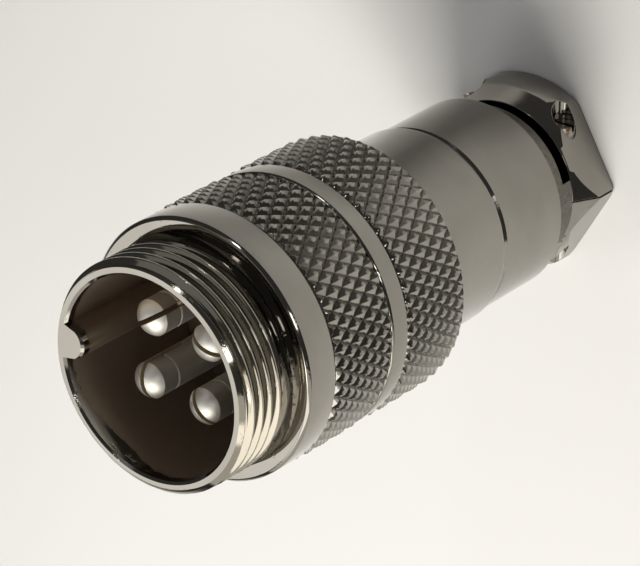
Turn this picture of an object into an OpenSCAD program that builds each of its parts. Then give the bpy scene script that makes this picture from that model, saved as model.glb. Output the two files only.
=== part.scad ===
// Circular cable connector, male, four pins, nickel-plated brass shells.
// Frame: origin at the centre of the tail end, +Z towards the mating end,
// +Y towards the clamp saddle, +X across the clamp.

/* [Mating end] */
// Major diameter of the coupling thread
thread_d = 19; // [18:0.1:20]
// Length from the front rim to the collar
thread_len = 6; // [4:0.1:9]
// Diameter of the socket bore
bore_d = 16.7; // [15.5:0.1:17.2]
// Depth of the insulator face behind the rim
socket_depth = 13.6; // [10:0.1:14.5]
// Width of the half-round key on the bore wall
key_w = 2.6; // [1.6:0.1:3.4]
// How far the key stands out of the bore wall
key_h = 1.9; // [1.2:0.1:2.4]
// Turn of the mating end against the clamp, about Z
front_turn = -4; // [-180:1:180]

/* [Grip] */
// Diameter over the knurled bands
knurl_d = 22; // [21.6:0.1:26]
// Diameter of the plain collar and the plain ring
collar_d = 21.7; // [21.2:0.1:25]
// Length of the plain collar behind the thread
collar_len = 3.3; // [2:0.1:5]
// Length of the front knurled band
front_knurl_len = 6.9; // [5:0.1:10]
// Length of the plain ring between the bands
ring_len = 2.1; // [1:0.1:4]
// Length of the rear knurled band
rear_knurl_len = 7.3; // [6.8:0.1:11]
// Chamfer at the start of each band and of the collar
edge_c = 0.25; // [0.1:0.05:0.4]

/* [Barrel] */
// Diameter of the sleeve's barrel
barrel_d = 17.1; // [16.8:0.1:19]
// Length of the sleeve's barrel
barrel_len = 8.65; // [7:0.05:14]
// Rounding of the barrel's rear shoulder
barrel_round = 0.6; // [0.2:0.1:1]
// Diameter of the tail tube and of the clamp collar
tail_d = 16.7; // [16.2:0.1:18]
// Length of the tail tube that shows
tail_len = 7.75; // [5:0.05:12]
// Bore of the tail for the wires
wire_d = 10.4; // [9:0.1:11]
// Wall of the sleeve round the wires
sleeve_wall = 1.25; // [0.9:0.05:1.6]

/* [Cable clamp] */
// Diameter of the cable passage when the saddle is down
cable_d = 6.6; // [4:0.1:7]
// Diameter of the neck between tail tube and clamp
neck_d = 14.2; // [13:0.1:15]
// Length of the neck
neck_len = 3.4; // [2.6:0.1:5]
// Gap between the neck's end and the saddle
saddle_gap = 1.1; // [0.5:0.1:1.6]
// Length of the clamp along the cable
clamp_len = 4.4; // [3.6:0.1:6]
// Width across the clamp's flats
clamp_flats = 14.5; // [14:0.1:15.2]
// Length of the taper at the clamp's front
clamp_taper = 2.3; // [1.2:0.1:2.6]
// Height of the jaw's cheeks above the centre line, in front of the saddle
cheek_h = 2; // [0.5:0.1:3]
// Distance between the clamp screws
screw_pitch = 9.2; // [9:0.1:9.8]
// Thread diameter of the clamp screws
screw_d = 1.4; // [1.2:0.1:1.6]
// Head diameter of the clamp screws
head_d = 1.9; // [1.7:0.1:2.2]
// Head height of the clamp screws
head_h = 1.1; // [0.8:0.1:1.4]

/* [Contacts] */
// Diameter of the contact pins
pin_d = 3; // [2:0.1:3.2]
// Diameter of the circle that the pins stand on
pin_circle = 7.8; // [7.2:0.1:8.4]
// Depth of the pin tips behind the rim
pin_setback = 2.8; // [1:0.1:6]
// Width of the slot that splits each pin
slot_w = 0.4; // [0.2:0.05:0.6]
// Length of the slot
slot_len = 5.2; // [3:0.1:6]
// Thickness of the insulator's flange
insulator_len = 5; // [3.5:0.1:5.5]
// Length of the solder cups behind the insulator
cup_len = 4.6; // [3.5:0.1:5]

/* [Hidden] */
$fn = 96;

run_clear = 0.05;     // radial running clearance
press_clear = 0.02;   // radial clearance of pieces pressed together
cut = 0.5;            // how far a cutter runs past a face

// Stations along Z, from the tail end up
z_clamp = clamp_len;
z_neck_end = z_clamp + saddle_gap;
z_tail = z_clamp + neck_len;
z_sleeve = z_tail + tail_len;
z_band = z_sleeve + barrel_len;
z_split = z_band + rear_knurl_len;
z_ring = z_split + ring_len;
z_knurl = z_ring + front_knurl_len;
z_collar = z_knurl + collar_len;
z_rim = z_collar + thread_len;

// Front shell
rim_c = 0.5;                                 // chamfer outside the rim
bore_c = 0.2;                                // chamfer inside the rim
relief_w = 0.8;                              // thread relief beside the collar
relief_h = 0.65;
relief_bite = 0.1;                           // how far the relief cuts into the collar's face
z_insulator = z_rim - socket_depth;          // insulator face
boss_len = 1.5;                              // insulator boss in the socket bore
z_seat = z_insulator - boss_len;             // shoulder that the flange seats on
flange_d = bore_d + 1.1;                     // insulator flange
chamber_d = flange_d + 2 * run_clear;        // counterbore behind the shoulder
z_flange_end = z_seat - insulator_len;
key_r = key_w / 2;
key_at = bore_d / 2 - key_h + key_r;         // centre of the key's round

// Thread that joins front shell and sleeve nut
joint_d = chamber_d + 2.2;
joint_len = rear_knurl_len - 1.8;
z_joint_end = z_split - joint_len;
joint_play = 0.4;                            // room below the spigot

// Circlip behind the insulator
clip_t = 0.8;
clip_groove = 0.45;                          // depth of its groove
clip_in_d = flange_d - 2;
clip_opening = 50;                           // degrees left open

// Sleeve nut
cavity_d = barrel_d - 2 * sleeve_wall;
end_wall = 2;                                // wall that the tail swivels in
z_cavity = z_sleeve + end_wall;
z_joint_floor = z_joint_end - joint_play;

// Tail body
spigot_d = wire_d + 2.4;
spigot_over = 1.05;                          // spigot above the snap ring's groove
swivel_t = 0.8;
swivel_groove = 0.5;
swivel_out_d = cavity_d - 0.4;
z_swivel = z_cavity + run_clear;
z_spigot_end = z_swivel + swivel_t + spigot_over;
rear_c = 0.35;                               // chamfer round the tail end
flat_tilt = 30;                              // turn of the flats' normals from X
cable_c = 0.4;                               // chamfer of the cable passage
saddle_seat = 0.1;                           // gap left between saddle and jaw
screw_z = clamp_len / 2 + 0.2;
head_seat = 4.7;                             // height of the screw heads' seat
head_clear = 0.06;
screw_end = tail_d / 2 - 2.9;                // screw tip below the centre line
drive_w = 0.35;                              // slot in the screw heads
drive_h = 0.45;

// Contact pins
pin_r = pin_d / 2;
pin_bevel = 0.9;                             // height of the rounded tip
shank_d = pin_d + 0.3;                       // length pressed into the insulator
cup_d = pin_d + 0.4;
cup_bore_d = pin_d - 0.8;
cup_depth = cup_len - 1;
stop_d = pin_d + 0.9;                        // shoulder behind the insulator
stop_t = 0.7;
z_tip = z_rim - pin_setback;
// Angle of each pin on its circle and of the slot across its tip
pin_angles = [45, 135, 225, 315];
slot_angles = [-65, 83, 62, -2];

// ---- helpers ----

// A ring about Z, from z0 up to z1
module ring(d_out, d_in, z0, z1) {
    rotate_extrude()
        translate([d_in / 2, z0])
            square([(d_out - d_in) / 2, z1 - z0]);
}

// A chamfered cylinder about Z
module bevelled(d, z0, z1, c0 = 0, c1 = 0) {
    rotate_extrude()
        polygon([[0, z0], [d / 2 - c0, z0], [d / 2, z0 + c0], [d / 2, z1 - c1], [d / 2 - c1, z1], [0, z1]]);
}

// An open spring ring about Z
module circlip(d_out, d_in, z0, t, opening) {
    difference() {
        ring(d_out, d_in, z0, z0 + t);
        rotate([0, 0, -opening / 2])
            linear_extrude(3 * (z0 + t), center = true)
                polygon([[0, 0], [d_out, 0], [d_out, d_out * tan(opening / 2)],
                         [d_out * cos(opening), d_out * sin(opening)]]);
    }
}

// ---- mating end ----

// Round rib on the bore wall, grown by g for its keyway
module key_rib(z0, z1, g = 0) {
    rotate([0, 0, 180])
        translate([key_at, 0, z0])
            cylinder(r = key_r + g, h = z1 - z0);
}

module front_shell() {
    color("#9c9a94")
        rotate([0, 0, front_turn]) {
            difference() {
                union() {
                    bevelled(thread_d, z_collar - cut, z_rim, 0, rim_c);
                    bevelled(collar_d, z_knurl - cut, z_collar, 0, edge_c);
                    bevelled(knurl_d, z_ring, z_knurl, edge_c, edge_c);
                    bevelled(collar_d, z_split + run_clear, z_ring + cut, edge_c, 0);
                    bevelled(joint_d, z_joint_end, z_split + cut, edge_c, 0);
                }
                translate([0, 0, z_joint_end - cut])
                    cylinder(d = chamber_d, h = z_seat - z_joint_end + cut);
                translate([0, 0, z_seat - cut])
                    cylinder(d = bore_d, h = z_rim - z_seat + 2 * cut);
                translate([0, 0, z_rim - bore_c])
                    cylinder(d1 = bore_d, d2 = bore_d + 4 * bore_c, h = 2 * bore_c);
                translate([0, 0, z_flange_end - clip_t - run_clear])
                    cylinder(d = chamber_d + 2 * clip_groove, h = clip_t + run_clear);
                ring(thread_d + 2 * relief_bite, thread_d - 2 * relief_h, z_collar - relief_bite, z_collar + relief_w);
            }
            intersection() {
                key_rib(z_seat, z_rim);
                translate([0, 0, z_seat])
                    cylinder(d = bore_d + 0.6, h = z_rim - z_seat);
            }
        }
}

module insulator() {
    color("#2b2320")
        rotate([0, 0, front_turn])
            difference() {
                union() {
                    translate([0, 0, z_seat - cut])
                        cylinder(d = bore_d - 2 * run_clear, h = boss_len + cut);
                    bevelled(flange_d, z_flange_end, z_seat, edge_c, 0);
                }
                key_rib(z_seat, z_insulator + cut, run_clear);
                for (a = pin_angles)
                    rotate([0, 0, a])
                        translate([pin_circle / 2, 0, z_flange_end - cut])
                            cylinder(d = shank_d + 2 * press_clear, h = insulator_len + boss_len + 2 * cut);
            }
}

module insulator_circlip() {
    color("#8d8a83")
        rotate([0, 0, front_turn])
            circlip(chamber_d + 2 * clip_groove - 2 * run_clear, clip_in_d,
                    z_flange_end - clip_t, clip_t - run_clear, clip_opening);
}

// Pin with a split, rounded tip in front and a solder cup behind
module contact_pin(i) {
    dome_r = (pow(pin_r, 2) + pow(pin_bevel, 2)) / (2 * pin_bevel);
    z_stop = z_flange_end - press_clear;
    z_cup = z_flange_end - cup_len;
    color("#b9b6ac")
        rotate([0, 0, front_turn + pin_angles[i]])
            translate([pin_circle / 2, 0, 0])
                difference() {
                    union() {
                        intersection() {
                            translate([0, 0, z_stop - stop_t])
                                cylinder(r = pin_r, h = z_tip - z_stop + stop_t);
                            translate([0, 0, z_tip - dome_r])
                                sphere(r = dome_r);
                        }
                        translate([0, 0, z_flange_end - stop_t - cut])
                            cylinder(r = pin_r, h = socket_depth - pin_setback + insulator_len);
                        translate([0, 0, z_stop - stop_t])
                            cylinder(d = shank_d, h = z_insulator - z_stop + stop_t);
                        translate([0, 0, z_stop - stop_t])
                            cylinder(d = stop_d, h = stop_t);
                        translate([0, 0, z_cup])
                            cylinder(d = cup_d, h = cup_len - stop_t);
                    }
                    rotate([0, 0, slot_angles[i]])
                        translate([-pin_d, -slot_w / 2, z_tip - slot_len])
                            cube([2 * pin_d, slot_w, slot_len + cut]);
                    translate([0, 0, z_cup - cut])
                        cylinder(d = cup_bore_d, h = cup_depth + cut);
                    translate([0, -cup_d / 2 - cut, z_cup - cut])
                        cube([cup_d, cup_d + 2 * cut, cup_depth / 2 + cut]);
                }
}

module contact_pin_1() { contact_pin(0); }
module contact_pin_2() { contact_pin(1); }
module contact_pin_3() { contact_pin(2); }
module contact_pin_4() { contact_pin(3); }

// ---- sleeve ----

module sleeve_nut() {
    color("#98958e")
        difference() {
            union() {
                bevelled(knurl_d, z_band, z_split, edge_c, edge_c);
                rotate_extrude() {
                    translate([0, z_sleeve + barrel_round])
                        square([barrel_d / 2, z_band + cut - z_sleeve - barrel_round]);
                    translate([0, z_sleeve])
                        square([barrel_d / 2 - barrel_round, barrel_round + cut]);
                    translate([barrel_d / 2 - barrel_round, z_sleeve + barrel_round])
                        circle(r = barrel_round);
                }
            }
            translate([0, 0, z_joint_floor])
                cylinder(d = joint_d + 2 * run_clear, h = z_split - z_joint_floor + cut);
            translate([0, 0, z_cavity])
                cylinder(d = cavity_d, h = z_split - z_cavity);
            translate([0, 0, z_sleeve - cut])
                cylinder(d = spigot_d + 2 * run_clear, h = end_wall + 2 * cut);
        }
}

module swivel_circlip() {
    color("#8d8a83")
        rotate([0, 0, 90])
            circlip(swivel_out_d, spigot_d - 2 * swivel_groove + 2 * run_clear,
                    z_swivel, swivel_t, clip_opening);
}

// ---- tail and cable clamp ----

// Outline of the clamp collar: taper in front, two flats on each side, chamfered end
module clamp_form() {
    apothem = clamp_flats / 2;
    intersection() {
        rotate_extrude()
            polygon([[0, 0], [tail_d / 2 - rear_c, 0], [tail_d / 2, rear_c],
                     [tail_d / 2, z_clamp - clamp_taper], [neck_d / 2, z_clamp], [0, z_clamp]]);
        translate([0, 0, -cut])
            linear_extrude(clamp_len + 2 * cut)
                polygon([[apothem / cos(flat_tilt), 0], [0, apothem / sin(flat_tilt)],
                         [-apothem / cos(flat_tilt), 0], [0, -apothem / sin(flat_tilt)]]);
    }
}

// Cable passage through the clamp, chamfered at the tail end
module cable_passage() {
    translate([0, 0, -cut])
        cylinder(d = cable_d, h = z_neck_end + 2 * cut);
    translate([0, 0, -cable_c])
        cylinder(d1 = cable_d + 4 * cable_c, d2 = cable_d, h = 2 * cable_c);
}

// Something at both clamp screws, pointing up from the centre line
module at_screws() {
    for (side = [-1, 1])
        translate([side * screw_pitch / 2, 0, screw_z])
            rotate([-90, 0, 0])
                children();
}

module tail_body() {
    color("#96938b")
        difference() {
            union() {
                bevelled(tail_d, z_tail, z_sleeve - run_clear, 0, edge_c);
                translate([0, 0, z_neck_end])
                    cylinder(d = neck_d, h = z_tail - z_neck_end + cut);
                bevelled(spigot_d, z_sleeve - cut, z_spigot_end, 0, edge_c);
                intersection() {
                    clamp_form();
                    translate([-tail_d, -2 * tail_d, -cut])
                        cube([2 * tail_d, 2 * tail_d, clamp_len + 2 * cut]);
                }
                intersection() {
                    translate([0, 0, z_clamp - cut])
                        cylinder(d = neck_d, h = saddle_gap + 2 * cut);
                    union() {
                        translate([-tail_d, -tail_d, z_clamp - cut])
                            cube([2 * tail_d, tail_d, saddle_gap + 2 * cut]);
                        translate([-tail_d, -cut, z_clamp + run_clear])
                            cube([2 * tail_d, cheek_h + cut, saddle_gap + cut]);
                    }
                }
            }
            translate([0, 0, z_neck_end])
                cylinder(d = wire_d, h = z_spigot_end - z_neck_end + cut);
            cable_passage();
            translate([-cable_d / 2, 0, z_clamp - cut])
                cube([cable_d, cheek_h + cut, saddle_gap + 2 * cut]);
            ring(spigot_d + 2, spigot_d - 2 * swivel_groove, z_swivel - run_clear, z_swivel + swivel_t + run_clear);
            at_screws()
                translate([0, 0, -tail_d])
                    cylinder(d = screw_d + 2 * run_clear, h = 2 * tail_d);
        }
}

module clamp_saddle() {
    color("#9a978f")
        difference() {
            intersection() {
                clamp_form();
                translate([-tail_d, saddle_seat, -cut])
                    cube([2 * tail_d, tail_d, clamp_len + 2 * cut]);
            }
            cable_passage();
            at_screws()
                cylinder(d = screw_d + 2 * run_clear, h = tail_d);
            at_screws()
                translate([0, 0, head_seat])
                    cylinder(d = head_d + 2 * head_clear, h = tail_d);
        }
}

module clamp_screw(side) {
    color("#a8a59c")
        translate([side * screw_pitch / 2, 0, screw_z])
            rotate([-90, 0, 0])
                difference() {
                    union() {
                        bevelled(head_d, head_seat, head_seat + head_h, 0, head_clear);
                        bevelled(screw_d, -screw_end, head_seat + cut, head_clear, 0);
                    }
                    translate([-head_d, -drive_w / 2, head_seat + head_h - drive_h])
                        cube([2 * head_d, drive_w, drive_h + cut]);
                }
}

module clamp_screw_left() { clamp_screw(-1); }
module clamp_screw_right() { clamp_screw(1); }

front_shell();
insulator();
insulator_circlip();
contact_pin_1();
contact_pin_2();
contact_pin_3();
contact_pin_4();
sleeve_nut();
swivel_circlip();
tail_body();
clamp_saddle();
clamp_screw_left();
clamp_screw_right();
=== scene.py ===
"""Fine surfaces, finishes, light and camera for a circular cable connector.

The connector stands on its tail, with its axis on +Z and its clamp saddle
towards +Y. Shapes are worked out in millimetres and stored in metres.
"""

import logging
import math
from dataclasses import dataclass, field
from enum import Enum
from typing import Any, Mapping, Sequence

import bpy
import numpy as np
from mathutils import Matrix, Vector


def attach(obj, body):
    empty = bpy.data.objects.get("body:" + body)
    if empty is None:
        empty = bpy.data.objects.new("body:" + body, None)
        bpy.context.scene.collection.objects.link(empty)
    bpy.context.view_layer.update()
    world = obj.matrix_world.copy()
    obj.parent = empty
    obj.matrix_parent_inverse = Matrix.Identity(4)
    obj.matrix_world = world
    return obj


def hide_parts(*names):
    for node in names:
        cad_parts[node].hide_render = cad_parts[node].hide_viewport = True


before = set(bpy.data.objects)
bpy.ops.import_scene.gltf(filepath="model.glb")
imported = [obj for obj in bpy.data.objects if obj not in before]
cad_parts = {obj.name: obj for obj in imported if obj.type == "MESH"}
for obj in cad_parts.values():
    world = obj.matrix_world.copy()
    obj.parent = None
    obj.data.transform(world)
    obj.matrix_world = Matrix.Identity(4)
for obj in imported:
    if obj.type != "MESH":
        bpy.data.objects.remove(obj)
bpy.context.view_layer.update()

log = logging.getLogger("connector")

MM = 0.001
MARKS = {"relief": 1.0, "dull": 0.0, "cut": 0.0}
Colour = tuple[float, float, float]
Pair = tuple[float, float]


# ---------------------------------------------------------------- shader maths


class Value:
    """A shader value that takes part in ordinary arithmetic."""

    def __init__(self, graph: "Graph", socket: bpy.types.NodeSocket) -> None:
        """Wraps a node's output socket."""
        self.graph = graph
        self.socket = socket

    def _math(self, operation: str, *values: "Value | float") -> "Value":
        """Adds one Math node.

        Args:
            operation: The Math node's operation.
            values: Its inputs in order.

        Returns:
            The node's result.
        """
        inputs = dict(enumerate(values))
        node = self.graph.node("ShaderNodeMath", {"operation": operation}, inputs)
        return Value(self.graph, node.outputs[0])

    def __add__(self, other: "Value | float") -> "Value":
        """Sum."""
        return self._math("ADD", self, other)

    def __radd__(self, other: float) -> "Value":
        """Sum with a number on the left."""
        return self._math("ADD", other, self)

    def __sub__(self, other: "Value | float") -> "Value":
        """Difference."""
        return self._math("SUBTRACT", self, other)

    def __rsub__(self, other: float) -> "Value":
        """Difference from a number."""
        return self._math("SUBTRACT", other, self)

    def __mul__(self, other: "Value | float") -> "Value":
        """Product."""
        return self._math("MULTIPLY", self, other)

    def __rmul__(self, other: float) -> "Value":
        """Product with a number on the left."""
        return self._math("MULTIPLY", other, self)

    def above(self, low: float, high: float) -> "Value":
        """Rises smoothly from 0 at low to 1 at high."""
        settings = {"interpolation_type": "SMOOTHSTEP"}
        inputs = {"Value": self, "From Min": low, "From Max": high}
        node = self.graph.node("ShaderNodeMapRange", settings, inputs)
        return Value(self.graph, node.outputs["Result"])


class Graph:
    """Builds the node tree of one material."""

    def __init__(self, name: str) -> None:
        """Starts an empty material with an output node."""
        self.material = bpy.data.materials.new(name)
        self.material.use_nodes = True
        self.tree = self.material.node_tree
        self.tree.nodes.clear()
        self.output = self.node("ShaderNodeOutputMaterial")

    def node(
        self,
        kind: str,
        settings: Mapping[str, Any] | None = None,
        inputs: Mapping[str | int, Any] | None = None,
    ) -> bpy.types.Node:
        """Adds one node.

        Args:
            kind: The node's type.
            settings: Its properties.
            inputs: Values or links by socket name or number.

        Returns:
            The new node.
        """
        node = self.tree.nodes.new(kind)
        for key, value in (settings or {}).items():
            setattr(node, key, value)
        for key, value in (inputs or {}).items():
            self.feed(node.inputs[key], value)
        return node

    def feed(self, socket: bpy.types.NodeSocket, value: Any) -> None:
        """Links a value to a socket, or sets it there if it is a constant."""
        if isinstance(value, Value):
            self.tree.links.new(value.socket, socket)
        elif isinstance(value, bpy.types.NodeSocket):
            self.tree.links.new(value, socket)
        else:
            socket.default_value = value

    def place(self, scale: Colour = (1.0, 1.0, 1.0)) -> bpy.types.NodeSocket:
        """Object coordinates, stretched by a scale for each axis."""
        source = self.node("ShaderNodeTexCoord").outputs["Object"]
        inputs = {"Vector": source, "Scale": scale}
        return self.node("ShaderNodeMapping", None, inputs).outputs["Vector"]

    def noise(self, scale: Colour, detail: float = 3.0, roughness: float = 0.55) -> Value:
        """Noise between 0 and 1.

        Args:
            scale: Repeats per metre along each axis.
            detail: Octaves.
            roughness: Weight of the fine octaves.

        Returns:
            The noise value.
        """
        inputs = {"Vector": self.place(scale), "Scale": 1.0, "Detail": detail, "Roughness": roughness}
        return Value(self, self.node("ShaderNodeTexNoise", None, inputs).outputs[0])

    def attribute(self, name: str) -> Value:
        """A value stored on the piece's points or faces."""
        node = self.node("ShaderNodeAttribute", {"attribute_name": name})
        return Value(self, node.outputs["Fac"])

    def blend(self, amount: Value, first: Any, second: Any) -> bpy.types.NodeSocket:
        """Mixes two colours by an amount between 0 and 1."""
        settings = {"data_type": "RGBA", "clamp_factor": True}
        pair = [(*c, 1.0) if isinstance(c, tuple) else c for c in (first, second)]
        node = self.node("ShaderNodeMix", settings, {"Factor": amount})
        self.feed(node.inputs[6], pair[0])
        self.feed(node.inputs[7], pair[1])
        return node.outputs[2]

    def bump(self, height: Value, distance: float) -> bpy.types.NodeSocket:
        """Bump from a height that runs over 0 to 1, with its depth in metres."""
        inputs = {"Height": height, "Distance": distance, "Strength": 1.0}
        return self.node("ShaderNodeBump", None, inputs).outputs["Normal"]

    def surface(self, inputs: Mapping[str, Any]) -> bpy.types.Material:
        """Ends the material in a Principled shader.

        Args:
            inputs: The shader's sockets by name.

        Returns:
            The finished material.
        """
        shader = self.node("ShaderNodeBsdfPrincipled", None, inputs)
        self.tree.links.new(shader.outputs[0], self.output.inputs["Surface"])
        return self.material


# ---------------------------------------------------------------- finishes


@dataclass(frozen=True)
class NickelFinish:
    """Bright nickel plating on turned brass.

    Colour drifts slowly over the surface, fine turning marks run around the
    axis, and where relief is known the valleys hold grime and the crests shine.
    """

    name: str
    tint: Colour = (0.305, 0.290, 0.262)
    shade: Colour = (0.268, 0.254, 0.228)
    grime: Colour = (0.05, 0.044, 0.035)
    brass: Colour = (0.58, 0.49, 0.28)
    tarnish: Colour = (0.44, 0.365, 0.295)
    gloss: float = 0.05
    turning: float = 0.0000012
    relief: bool = False

    def material(self) -> bpy.types.Material:
        """Builds the plating's material."""
        graph = Graph(self.name)
        drift = graph.noise((90, 90, 140), 3.0)
        marks = graph.noise((60, 60, 9000), 4.0, 0.7)
        pits = graph.noise((2600, 2600, 2600), 2.0, 0.6)
        colour = graph.blend(drift.above(0.35, 0.65), self.shade, self.tint)
        rough = self.gloss + 0.05 * marks + 0.06 * pits.above(0.55, 0.8)
        bump = graph.bump(marks * 0.7 + pits * 0.3, self.turning)
        bare = graph.attribute("cut")
        colour = graph.blend(bare * (0.55 + 0.45 * drift), colour, self.brass)
        rough = rough + 0.12 * bare
        if self.relief:
            height = graph.attribute("relief")
            dirt = (1.0 - height.above(0.0, 0.22)) * (0.3 + 0.6 * pits)
            colour = graph.blend(dirt, colour, self.grime)
            # Tarnish where the dull mark rises; the one place in the bore it holds off is a painted highlight.
            dull = (graph.attribute("dull") + 0.5 * (pits - 0.5)).above(0.3, 0.7)
            colour = graph.blend(dull, colour, self.tarnish)
            rough = rough + 0.2 * dirt + 0.42 * dull
            nicks = graph.noise((700, 700, 1900), 3.0, 0.75).above(0.56, 0.74) * height.above(0.75, 1.0)
            bump = graph.bump(marks * 0.1 - nicks, 0.000012)
        inputs = {"Base Color": colour, "Metallic": 1.0, "Roughness": rough, "Normal": bump}
        return graph.surface(inputs)


@dataclass(frozen=True)
class SteelFinish:
    """Plain steel of screws and spring rings, brushed and a little dull."""

    name: str
    tint: Colour = (0.40, 0.37, 0.33)
    stain: Colour = (0.17, 0.10, 0.055)

    def material(self) -> bpy.types.Material:
        """Builds the steel's material."""
        graph = Graph(self.name)
        cloud = graph.noise((900, 900, 900), 4.0)
        grain = graph.noise((9000, 1500, 9000), 3.0)
        colour = graph.blend(cloud.above(0.47, 0.6), self.tint, self.stain)
        rough = 0.22 + 0.2 * cloud
        bump = graph.bump(grain, 0.000003)
        inputs = {"Base Color": colour, "Metallic": 1.0, "Roughness": rough, "Normal": bump}
        return graph.surface(inputs)


@dataclass(frozen=True)
class MouldedFinish:
    """Dark brown moulded insulator with a soft sheen and specks of dust."""

    name: str
    tint: Colour = (0.085, 0.064, 0.048)
    bloom: Colour = (0.135, 0.106, 0.080)
    dust: Colour = (0.36, 0.34, 0.30)

    def material(self) -> bpy.types.Material:
        """Builds the moulding's material."""
        graph = Graph(self.name)
        cloud = graph.noise((260, 260, 260), 4.0)
        grain = graph.noise((5200, 5200, 5200), 3.0)
        specks = graph.noise((1500, 1500, 1500), 1.0, 0.2).above(0.735, 0.765)
        colour = graph.blend(cloud.above(0.3, 0.75), self.tint, self.bloom)
        colour = graph.blend(specks, colour, self.dust)
        rough = 0.32 + 0.2 * cloud + 0.3 * specks
        bump = graph.bump(grain, 0.000006)
        inputs = {"Base Color": colour, "Roughness": rough, "Normal": bump, "IOR": 1.55}
        return graph.surface(inputs)


# ---------------------------------------------------------------- surfaces


@dataclass
class Surface:
    """Points in millimetres, triangles, and the marks that finishes read.

    The marks are relief (0 in a groove, 1 on a crest), dull (tarnished bore,
    with one clean place that is a painted highlight) and cut (left bare by a
    cutting tool), each a value at every point or for every triangle.
    """

    points: np.ndarray
    triangles: np.ndarray
    marks: dict[str, np.ndarray]

    def __add__(self, other: "Surface") -> "Surface":
        """Both surfaces as one."""
        return Surface(
            np.concatenate([self.points, other.points]),
            np.concatenate([self.triangles, other.triangles + len(self.points)]),
            {key: np.concatenate([self.marks[key], other.marks[key]]) for key in MARKS},
        )

    def welded(self) -> "Surface":
        """Joins points closer than a hundredth of a micron and drops collapsed faces."""
        keys = np.round(self.points, 5)
        _, first, index = np.unique(keys, axis=0, return_index=True, return_inverse=True)
        faces = index.reshape(-1)[self.triangles]
        whole = (
            (faces[:, 0] != faces[:, 1])
            & (faces[:, 1] != faces[:, 2])
            & (faces[:, 2] != faces[:, 0])
        )
        marks = {key: values[first] for key, values in self.marks.items()}
        return Surface(self.points[first], faces[whole], marks)

    def piece(self, name: str, sharp: float) -> bpy.types.Object:
        """Makes the Blender object.

        Args:
            name: The piece's name.
            sharp: Edges that turn by more degrees than this stay sharp.

        Returns:
            The object, at the origin, smooth-shaded.
        """
        mesh = bpy.data.meshes.new(name)
        mesh.from_pydata((self.points * MM).tolist(), [], self.triangles.tolist())
        for key, values in self.marks.items():
            domain = "POINT" if len(values) == len(self.points) else "FACE"
            store = mesh.attributes.new(key, "FLOAT", domain)
            store.data.foreach_set("value", values.astype(np.float32))
        mesh.shade_smooth()
        mesh.set_sharp_from_angle(angle=math.radians(sharp))
        mesh.update()
        item = bpy.data.objects.new(name, mesh)
        bpy.context.scene.collection.objects.link(item)
        return item


def plain_marks(count: int, **marks: np.ndarray | float) -> dict[str, np.ndarray]:
    """Marks for a number of points or faces: those given, and the plain value of the rest."""
    return {
        key: np.broadcast_to(marks.get(key, plain), count).astype(float)
        for key, plain in MARKS.items()
    }


def sheet(points: np.ndarray, other: np.ndarray | None = None, **marks: np.ndarray | float) -> Surface:
    """Splits a grid of points into triangles.

    Rows run along a profile and columns around the axis, so a row step crossed
    with a column step points inwards and the faces look outwards.

    Args:
        points: Grid of points, rows by columns by 3.
        other: True where a square is split on its other diagonal.
        marks: Marks on the grid, or one value for all of it.

    Returns:
        The surface.
    """
    rows, columns = points.shape[:2]
    index = np.arange(rows * columns).reshape(rows, columns)
    a, b = index[:-1, :-1], index[:-1, 1:]
    c, d = index[1:, 1:], index[1:, :-1]
    swap = np.zeros(a.shape, bool) if other is None else other
    first = np.stack([a, b, np.where(swap, d, c)], -1)
    second = np.stack([np.where(swap, b, a), c, d], -1)
    faces = np.concatenate([first.reshape(-1, 3), second.reshape(-1, 3)])
    flat = {key: np.reshape(value, -1) for key, value in marks.items()}
    return Surface(points.reshape(-1, 3), faces, plain_marks(rows * columns, **flat))


def around(radius: np.ndarray, height: np.ndarray, angle: np.ndarray) -> np.ndarray:
    """Points at a radius and height round the axis: (r cos t, r sin t, z)."""
    radius, height, angle = np.broadcast_arrays(radius, height, angle)
    return np.stack([radius * np.cos(angle), radius * np.sin(angle), height], -1)


def eased(corners: Sequence[Pair], radius: float, steps: int = 3) -> np.ndarray:
    """Rounds the inner corners of a profile.

    Each corner P between neighbours A and B becomes the quadratic curve from
    the point one radius short of P to the point one radius past it, steered
    by P. The first and last corner stay.

    Args:
        corners: Profile points (r, z) in millimetres.
        radius: Length cut from each side of a corner.
        steps: Points on each rounding.

    Returns:
        The rounded profile, n by 2.
    """
    path = np.array(corners, float)
    here, back, ahead = path[1:-1], path[:-2] - path[1:-1], path[2:] - path[1:-1]
    reach = [np.minimum(radius / np.linalg.norm(v, axis=1), 0.45)[:, None] * v for v in (back, ahead)]
    s = np.linspace(0, 1, steps)[None, :, None]
    bend = (1 - s) ** 2 * reach[0][:, None] + s**2 * reach[1][:, None]
    middle = (here[:, None] + bend).reshape(-1, 2)
    return np.concatenate([path[:1], middle, path[-1:]])


# ---------------------------------------------------------------- knurl and thread


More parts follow.
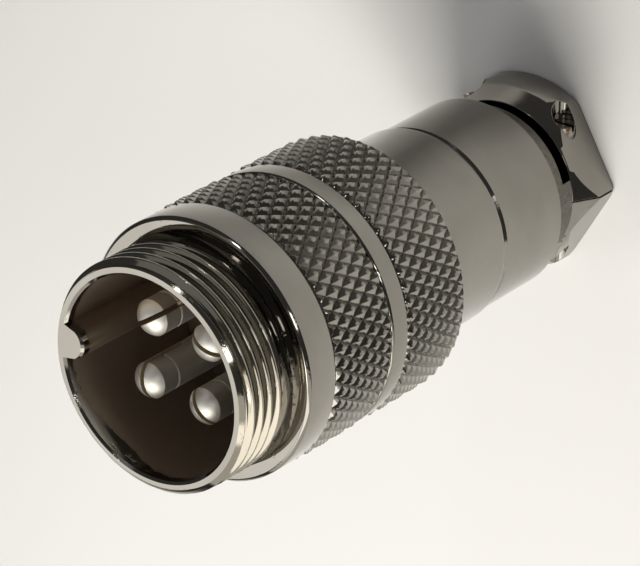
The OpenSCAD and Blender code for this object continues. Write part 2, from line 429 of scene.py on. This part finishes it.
@dataclass
class Knurl:
    """A band of diamond knurling: two sets of grooves that cross at a slant."""

    low: float
    high: float
    radius: float = 11.0
    depth: float = 0.40
    crown: float = 0.88
    teeth: int = 55
    half_cells: float = 7.0
    steps: int = 4
    chamfer: Pair = (0.30, 0.30)
    chamfer_foot: Pair = (10.62, 10.62)

    @property
    def half_pitch(self) -> float:
        """Half of the knurl's pitch along the axis."""
        return (self.high - self.low) / self.half_cells

    def rows(self) -> np.ndarray:
        """Heights of the grid's rows: an even lattice, denser over the chamfers."""
        lattice = np.arange(self.low, self.high + 1e-6, self.half_pitch / self.steps)
        ramps = [self.low + self.chamfer[0] * np.linspace(0, 1, 4), self.high - self.chamfer[1] * np.linspace(0, 1, 4)]
        rows = np.unique(np.round(np.concatenate([lattice, *ramps, [self.low, self.high]]), 4))
        return rows[np.concatenate([[True], np.diff(rows) > 0.03])]

    def level(self, height: np.ndarray, angle: np.ndarray) -> np.ndarray:
        """Relief from 0 in a groove to 1 on a crest.

        With a and b the turns of tooth counted along the two slants, each
        slant's ridge is 1 - |2 frac - 1|, and the diamond is the lower of them,
        cut flat at the crown.
        """
        turn = angle * self.teeth / (2 * np.pi)
        rise = (height - self.low) / (2 * self.half_pitch)
        ridge = [1 - np.abs(2 * np.mod(turn + side * rise, 1) - 1) for side in (1, -1)]
        return np.clip(np.minimum(*ridge), 0.0, self.crown) / self.crown

    def envelope(self, height: np.ndarray) -> np.ndarray:
        """Radius left by the chamfers that are turned on both ends."""
        ends = [self.low, self.low + self.chamfer[0], self.high - self.chamfer[1], self.high]
        radii = [self.chamfer_foot[0], self.radius, self.radius, self.chamfer_foot[1]]
        return np.interp(height, ends, radii)

    def surface(self, angle: np.ndarray) -> Surface:
        """The band's surface on the given columns."""
        rows = self.rows()
        height, turn = np.meshgrid(rows, angle, indexing="ij")
        level = self.level(height, turn)
        radius = np.minimum(self.radius - self.depth * (1 - level), self.envelope(height))
        middle = (rows[:-1] + rows[1:]) / 2
        block = np.floor((middle - self.low) / self.half_pitch)[:, None]
        block = block + (np.arange(len(angle) - 1) // self.steps)[None, :]
        return sheet(around(radius, height, turn), block % 2 == 1, relief=level)


@dataclass
class Thread:
    """An external 60 degree thread that runs out on a cone at both ends."""

    low: float = 44.6
    high: float = 49.8
    crest: float = 9.5
    depth: float = 0.61
    pitch: float = 1.0
    rim: float = 9.0
    rim_chamfer: float = 0.5
    root: float = 8.85
    run_out: float = 1.3
    bare: float = 0.12

    PHASES = (-0.5, -0.43, -0.375, -0.30, -0.18, -0.095, -0.06, 0.0, 0.06, 0.095, 0.18, 0.30, 0.375, 0.43)
    LEVELS = (0.0, 0.02, 0.08, 0.29, 0.66, 0.93, 0.98, 1.0, 0.98, 0.93, 0.66, 0.29, 0.08, 0.02)

    def level(self, height: np.ndarray, angle: np.ndarray) -> np.ndarray:
        """Relief of the helix: the profile read at height less pitch times turns."""
        phase = np.mod((height - self.low) / self.pitch - angle / (2 * np.pi) + 0.5, 1) - 0.5
        return np.interp(phase, [*self.PHASES, 0.5], [*self.LEVELS, 0.0])

    def radius(self, height: np.ndarray, angle: np.ndarray) -> np.ndarray:
        """Radius of the thread, held under the cones at its two ends."""
        thread = self.crest - self.depth * (1 - self.level(height, angle))
        rim = self.rim + (self.high - height) * (self.crest - self.rim) / self.rim_chamfer
        back = self.root + (height - self.low) * self.run_out
        return np.minimum(thread, np.minimum(rim, back))

    def surface(self, angle: np.ndarray) -> Surface:
        """A grid whose rows climb with the helix, cut off flat at both ends."""
        turns = np.arange(-1, int((self.high - self.low) / self.pitch) + 2)
        start = (turns[:, None] + np.array(self.PHASES)[None, :]).reshape(-1) * self.pitch
        rise = self.pitch * angle / (2 * np.pi)
        height = np.clip(self.low + start[:, None] + rise[None, :], self.low, self.high)
        turn = np.broadcast_to(angle, height.shape)
        points = around(self.radius(height, turn), height, turn)
        return sheet(points, relief=self.level(height, turn), cut=self.bare)


# ---------------------------------------------------------------- sub-assemblies


@dataclass
class MatingEnd:
    """Front shell with thread, collar, knurled band and key, turned as one piece."""

    joint_r: float = 10.05
    joint_end: float = 26.0
    split: float = 31.55
    ring_r: float = 10.85
    ring_top: float = 33.6
    band_top: float = 40.5
    collar_top: float = 43.8
    rim_z: float = 49.8
    bore_r: float = 8.35
    bore_chamfer: float = 0.2
    seat_z: float = 34.7
    chamber_r: float = 8.95
    key_at: float = 7.75
    key_r: float = 1.3
    key_angle: float = 176.0
    # Painted highlight: at this angle, over this width, the tarnish holds off this much deeper and leaves clean
    # nickel.
    painted_glint_angle: float = 242.0
    painted_glint_depth: float = 0.9
    painted_glint_width: float = 22.0
    bright_rim: float = 0.3
    groove_r: float = 9.4
    groove_z: Pair = (28.85, 29.7)
    thread: Thread = field(default_factory=Thread)
    knurl: Knurl = field(default_factory=lambda: Knurl(33.6, 40.5))
    finish: NickelFinish = NickelFinish("nickel_front", relief=True)

    def bore(self, angle: np.ndarray) -> np.ndarray:
        """Radius of the socket's wall, which the half-round key narrows.

        Over the key, a ray at an angle d from the key's centre line meets the
        round at c cos d - sqrt(r^2 - (c sin d)^2).
        """
        d = np.mod(angle - math.radians(self.key_angle) + np.pi, 2 * np.pi) - np.pi
        inside = self.key_r**2 - (self.key_at * np.sin(d)) ** 2
        on_key = (inside > 0) & (np.abs(d) < np.pi / 2)
        near = self.key_at * np.cos(d) - np.sqrt(np.maximum(inside, 0))
        return np.where(on_key, near, self.bore_r)

    def dullness(self, points: np.ndarray) -> np.ndarray:
        """Tarnish on the socket's wall: none at the mouth, whole further in.

        It begins a little below the rim, deeper at one bell-shaped place left
        clean as a painted highlight, and rises over one millimetre.
        """
        depth = self.rim_z - points[:, 2]
        turn = np.degrees(np.arctan2(points[:, 1], points[:, 0])) % 360
        bell = np.exp(-(((turn - self.painted_glint_angle) / self.painted_glint_width) ** 2))
        start = self.bright_rim + self.painted_glint_depth * bell
        return np.clip(depth - start, 0, 1)

    def build(self, angle: np.ndarray) -> bpy.types.Object:
        """Builds the front shell.

        Args:
            angle: The columns' angles, the first and last on one line.

        Returns:
            The piece.
        """
        def lathe(corners: Sequence[Pair], radius: float = 0.05) -> Surface:
            """Carries a profile with rounded corners round the axis."""
            profile = eased(corners, radius)
            return sheet(around(profile[:, :1], profile[:, 1:], angle[None, :]))

        rear = lathe([
            (self.chamber_r, self.groove_z[0]), (self.chamber_r, self.joint_end), (9.8, self.joint_end),
            (self.joint_r, 26.25), (self.joint_r, self.split), (10.6, self.split), (self.ring_r, 31.8),
            (self.ring_r, 33.45), (10.7, self.ring_top), (self.knurl.chamfer_foot[0], self.ring_top)])
        collar = lathe([
            (self.knurl.chamfer_foot[1], self.band_top), (10.55, 40.53), (10.55, 40.6), (self.ring_r, 40.72),
            (self.ring_r, 43.55), (10.6, self.collar_top), (9.6, self.collar_top), (9.6, 43.7),
            (self.thread.root, 43.7), (self.thread.root, self.thread.low)])
        wall = self.bore(angle)
        rim = self.thread.radius(np.array(self.rim_z), angle)
        depths = (self.bore_chamfer, 0.4, 0.8, 1.2, 1.6, 2.0, 2.5, 3.0, 4.0)
        steps = [(rim, self.rim_z), (rim - 0.06, self.rim_z), (wall + self.bore_chamfer, self.rim_z),
                 *[(wall, self.rim_z - depth) for depth in depths], (wall, self.seat_z)]
        mouth = sheet(np.stack([around(r, np.array(z), angle) for r, z in steps]))
        mouth.marks["dull"] = self.dullness(mouth.points)
        back = lathe([
            (self.bore_r, self.seat_z), (self.chamber_r, self.seat_z), (self.chamber_r, self.groove_z[1]),
            (self.groove_r, self.groove_z[1]), (self.groove_r, self.groove_z[0]),
            (self.chamber_r, self.groove_z[0])], 0.01)
        seat = np.array(self.seat_z)
        step = sheet(np.stack([around(wall, seat, angle), around(np.array(self.bore_r), seat, angle)]))
        whole = rear + self.knurl.surface(angle) + collar + self.thread.surface(angle) + mouth + step + back
        return whole.welded().piece("front_shell_surface", 28)

    def dress(self, piece: bpy.types.Object) -> None:
        """Gives the shell its plating and its body."""
        piece.data.materials.append(self.finish.material())
        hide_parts("front_shell")
        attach(piece, "mating_end")


@dataclass
class Sleeve:
    """Sleeve nut: knurled band in front, plain barrel with a rounded shoulder behind."""

    foot: float = 15.55
    band: float = 24.2
    split: float = 31.5
    barrel_r: float = 8.55
    shoulder: float = 0.6
    joint_r: float = 10.1
    joint_floor: float = 25.6
    cavity_r: float = 7.3
    cavity_z: float = 17.55
    hole_r: float = 6.45
    knurl: Knurl = field(default_factory=lambda: Knurl(
        24.2, 31.5, half_cells=7.5, chamfer=(0.45, 0.30), chamfer_foot=(10.5, 10.62)))
    finish: NickelFinish = NickelFinish("nickel_sleeve", relief=True)

    def build(self, angle: np.ndarray) -> bpy.types.Object:
        """Builds the sleeve nut on the given columns."""
        bend = np.linspace(0, np.pi / 2, 7)[1:-1]
        centre = (self.barrel_r - self.shoulder, self.foot + self.shoulder)
        curve = [(centre[0] + self.shoulder * math.sin(t), centre[1] - self.shoulder * math.cos(t)) for t in bend]
        outside = [(self.hole_r, self.cavity_z), (self.hole_r, self.foot), (centre[0], self.foot), *curve,
                   (self.barrel_r, centre[1]), (self.barrel_r, self.band), (self.knurl.chamfer_foot[0], self.band)]
        inside = [(self.knurl.chamfer_foot[1], self.split), (self.joint_r, self.split),
                  (self.joint_r, self.joint_floor),
                  (self.cavity_r, self.joint_floor), (self.cavity_r, self.cavity_z), (self.hole_r, self.cavity_z)]
        sides = [eased(path, 0.04) for path in (outside, inside)]
        shells = [sheet(around(p[:, :1], p[:, 1:], angle[None, :])) for p in sides]
        whole = shells[0] + self.knurl.surface(angle) + shells[1]
        return whole.welded().piece("sleeve_nut_surface", 28)

    def dress(self, piece: bpy.types.Object) -> None:
        """Gives the sleeve its plating and its body."""
        piece.data.materials.append(self.finish.material())
        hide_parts("sleeve_nut")
        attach(piece, "sleeve")


@dataclass
class Fitted:
    """A CAD piece drawn again with joined faces, so that its round walls shade smoothly.

    Its edge is the width in millimetres that a bevel takes off, 0 for none.
    """

    node: str
    body: str
    slot: str
    finish: NickelFinish | SteelFinish | MouldedFinish
    sharp: float = 30.0
    edge: float = 0.0

    def build(self) -> bpy.types.Object:
        """Copies the node's triangles into one welded surface."""
        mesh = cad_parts[self.node].data
        mesh.calc_loop_triangles()
        points = np.empty(len(mesh.vertices) * 3)
        mesh.vertices.foreach_get("co", points)
        faces = np.empty(len(mesh.loop_triangles) * 3, np.int64)
        mesh.loop_triangles.foreach_get("vertices", faces)
        points = points.reshape(-1, 3) / MM
        surface = Surface(points, faces.reshape(-1, 3), plain_marks(len(points))).welded()
        surface.marks = self.marks(surface.points[surface.triangles].mean(axis=1))
        piece = surface.piece(self.node + "_surface", self.sharp)
        if self.edge:
            bevel = piece.modifiers.new("edges", "BEVEL")
            bevel.width, bevel.segments, bevel.limit_method = self.edge * MM, 2, "ANGLE"
            bevel.angle_limit, bevel.harden_normals = math.radians(self.sharp), True
        return piece

    def marks(self, middles: np.ndarray) -> dict[str, np.ndarray]:
        """Marks of the triangles by their middles, plain unless a piece says otherwise."""
        return plain_marks(len(middles))

    def dress(self, piece: bpy.types.Object, material: bpy.types.Material) -> None:
        """Gives the piece its material and its body."""
        piece.data.materials.append(material)
        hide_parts(self.node)
        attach(piece, self.body)


@dataclass
class SplitPin(Fitted):
    """A contact pin, with the cut that splits its tip left in bare brass."""

    centre: Pair = (0.0, 0.0)
    cut_angle: float = 0.0
    cut_half: float = 0.2
    cut_slack: float = 0.01

    def marks(self, middles: np.ndarray) -> dict[str, np.ndarray]:
        """Bare where a triangle's middle is no further across the cut than its walls."""
        x, y = middles[:, 0] - self.centre[0], middles[:, 1] - self.centre[1]
        turn = math.radians(self.cut_angle)
        across = np.abs(y * math.cos(turn) - x * math.sin(turn))
        in_cut = across < self.cut_half + self.cut_slack
        return plain_marks(len(middles), cut=np.where(in_cut, 1.0, 0.0))


@dataclass
class Tail(Fitted):
    """The tail body, whose neck below the tube holds grime."""

    neck_r: float = 7.1
    neck_z: Pair = (4.3, 7.85)
    neck_slack: float = 0.05
    clean: float = 0.7

    def marks(self, middles: np.ndarray) -> dict[str, np.ndarray]:
        """Relief is 0, full of grime, inside the neck's radius, and elsewhere too low for nicks."""
        radius, height = np.hypot(middles[:, 0], middles[:, 1]), middles[:, 2]
        on_neck = radius < self.neck_r + self.neck_slack
        on_neck = on_neck & (height > self.neck_z[0]) & (height < self.neck_z[1])
        return plain_marks(len(middles), relief=np.where(on_neck, 0.0, self.clean))


# ---------------------------------------------------------------- studio


class Side(Enum):
    """Where a soft lamp hangs, as azimuth and elevation in degrees."""

    KEY = (-70.0, 50.0)
    CREST = (-62.0, 66.0)
    BACK = (218.7, 44.0)
    LEFT = (98.0, 38.0)
    FRONT = (22.0, 46.0)
    MOUTH = (218.7, 72.0)
    TOP = (125.0, 62.0)
    CARD = (-62.0, 20.0)


@dataclass(frozen=True)
class Lamp:
    """A square soft lamp that faces the connector.

    Its size and distance are in metres, and its radiance is how bright its
    face is, where white paper is 1. The last two say whether reflections
    show it and whether it lights dull surfaces.
    """

    side: Side
    size: float
    distance: float
    radiance: float
    colour: Colour
    glossy: bool = True
    diffuse: bool = True

    def hang(self, target: Colour) -> None:
        """Puts the lamp at its distance from the target, hidden from the camera."""
        azimuth, elevation = (math.radians(a) for a in self.side.value)
        level = math.cos(elevation)
        out = Vector((level * math.cos(azimuth), level * math.sin(azimuth), math.sin(elevation)))
        data = bpy.data.lights.new("lamp_" + self.side.name.lower(), "AREA")
        data.shape, data.size, data.color = "SQUARE", self.size, self.colour
        data.energy = self.radiance * math.pi * self.size * self.size
        item = bpy.data.objects.new(data.name, data)
        item.visible_camera = False
        item.visible_glossy, item.visible_diffuse = self.glossy, self.diffuse
        turn = out.to_track_quat("Z", "Y").to_matrix().to_4x4()
        item.matrix_world = Matrix.Translation(Vector(target) + out * self.distance) @ turn
        bpy.context.scene.collection.objects.link(item)


@dataclass
class Studio:
    """Pale floor painted darker far out, even surround, soft lamps and the camera."""

    target: Colour = (0.0, 0.0, 0.029)
    distance: float = 0.278
    right: Colour = (0.7815, 0.0, -0.6239)
    up: Colour = (-0.278, 0.894, -0.349)
    lens: float = 197.94
    surround: float = 0.07
    floor_colour: Colour = (0.93, 0.925, 0.915)
    floor_painted_shade: Colour = (0.30, 0.295, 0.285)
    floor_painted_fade: Pair = (0.16, 0.33)
    floor_light_centre: Colour = (0.12, -0.09, 0.0)
    floor_half: float = 3000.0
    floor_drop: float = 0.02
    lamps: tuple[Lamp, ...] = (
        Lamp(Side.KEY, 0.25, 0.4, 7.6, (1.0, 0.965, 0.9), glossy=False),
        Lamp(Side.KEY, 0.36, 0.41, 2.0, (1.0, 0.96, 0.88), diffuse=False),
        Lamp(Side.CARD, 0.9, 0.62, 0.9, (1.0, 0.97, 0.91), diffuse=False),
        Lamp(Side.CREST, 0.06, 0.4, 14.0, (1.0, 0.98, 0.94)),
        Lamp(Side.BACK, 0.16, 0.4, 1.75, (1.0, 0.98, 0.95)),
        Lamp(Side.LEFT, 0.04, 0.4, 8.0, (1.0, 0.99, 0.97)),
        Lamp(Side.FRONT, 0.08, 0.45, 5.5, (1.0, 0.99, 0.97)),
        Lamp(Side.MOUTH, 0.05, 0.4, 14.0, (1.0, 0.98, 0.95)),
        Lamp(Side.TOP, 0.32, 0.4, 0.25, (1.0, 0.99, 0.97)),
    )

    def floor(self) -> None:
        """Lays a large pale floor under the tail, its colour painted darker away from the connector as painted shade.
        """
        side = np.linspace(-self.floor_half, self.floor_half, 5)
        x, y = np.meshgrid(side, side)
        grid = np.stack([x, y, np.full_like(x, -self.floor_drop)], -1)
        piece = sheet(grid).piece("floor", 30)
        graph = Graph("pale_floor_with_painted_falloff")
        tone = graph.noise((3, 3, 3), 2.0)
        shade = tuple(0.97 * c for c in self.floor_colour)
        colour = graph.blend(tone, shade, self.floor_colour)
        # Painted shade: the floor fades from pale to grey with distance from a point near the tail, a painted pool of
        # light.
        ends = {0: graph.place(), 1: self.floor_light_centre}
        away = graph.node("ShaderNodeVectorMath", {"operation": "DISTANCE"}, ends).outputs["Value"]
        colour = graph.blend(Value(graph, away).above(*self.floor_painted_fade), colour, self.floor_painted_shade)
        piece.data.materials.append(graph.surface({"Base Color": colour, "Roughness": 0.9}))

    def world(self) -> None:
        """Fills the surround with an even grey."""
        world = bpy.data.worlds.new("surround")
        world.use_nodes = True
        sky = world.node_tree.nodes["Background"]
        sky.inputs["Color"].default_value = (1.0, 0.985, 0.96, 1.0)
        sky.inputs["Strength"].default_value = self.surround
        bpy.context.scene.world = world

    def camera(self) -> None:
        """Sets up the camera."""
        right, up = Vector(self.right).normalized(), Vector(self.up)
        back = right.cross(up).normalized()
        up = back.cross(right)
        data = bpy.data.cameras.new("camera")
        data.lens, data.sensor_width, data.clip_start, data.clip_end = self.lens, 36.0, 0.01, 20.0
        item = bpy.data.objects.new("camera", data)
        turn = Matrix((right, up, back)).transposed().to_4x4()
        item.matrix_world = Matrix.Translation(Vector(self.target) + back * self.distance) @ turn
        bpy.context.scene.collection.objects.link(item)
        bpy.context.scene.camera = item

    def build(self) -> None:
        """Sets up floor, surround, lamps, camera and view."""
        self.floor()
        self.world()
        for lamp in self.lamps:
            lamp.hang(self.target)
        self.camera()
        bpy.context.scene.view_settings.view_transform = "Standard"


# ---------------------------------------------------------------- assembly


PIN_CIRCLE_R = 3.9
PINS_AND_CUTS = ((41, -24), (131, 214), (221, 283), (311, 309))


def split_pins() -> tuple[Fitted, ...]:
    """The four contact pins, each with its place on the circle and its cut's direction."""
    finish = NickelFinish("nickel_pins", (0.84, 0.82, 0.77), (0.74, 0.72, 0.67), gloss=0.46)
    pins = []
    for number, (place, cut) in enumerate(PINS_AND_CUTS, 1):
        at = math.radians(place)
        centre = (PIN_CIRCLE_R * math.cos(at), PIN_CIRCLE_R * math.sin(at))
        pins.append(SplitPin(
            f"contact_pin_{number}", "mating_end", "pin_nickel", finish, centre=centre, cut_angle=cut))
    return tuple(pins)


def fitted_families() -> list[tuple[Fitted, ...]]:
    """The pieces drawn from the CAD, in groups that share a material."""
    screw = SteelFinish("screw_steel")
    spring = SteelFinish("spring_steel", (0.3, 0.29, 0.28))
    return [
        (Tail("tail_body", "tail", "tail_nickel", NickelFinish("nickel_tail", relief=True), edge=0.07),),
        (Fitted("clamp_saddle", "saddle", "saddle_nickel", NickelFinish("nickel_saddle"), edge=0.10),),
        split_pins(),
        (Fitted("clamp_screw_left", "screw_left", "screw_steel", screw),
         Fitted("clamp_screw_right", "screw_right", "screw_steel", screw)),
        (Fitted("insulator", "mating_end", "insulator_plastic", MouldedFinish("dark_moulding")),),
        (Fitted("insulator_circlip", "mating_end", "spring_steel", spring),
         Fitted("swivel_circlip", "tail", "spring_steel", spring)),
    ]


def main() -> None:
    """Builds the connector's visible pieces in order and reports each one."""
    logging.basicConfig(level=logging.INFO, format="%(message)s")
    Studio().build()
    knurl = Knurl(0, 7)
    angle = np.linspace(0, 2 * np.pi, knurl.teeth * 2 * knurl.steps + 1)
    for part in (MatingEnd(), Sleeve()):
        piece = part.build(angle)
        part.dress(piece)
        log.info("%s: %d triangles", piece.name, len(piece.data.polygons))
    for family in fitted_families():
        material = family[0].finish.material()
        for part in family:
            piece = part.build()
            part.dress(piece, material)
            log.info("%s: %d triangles", piece.name, len(piece.data.polygons))


if __name__ == "__main__":
    main()
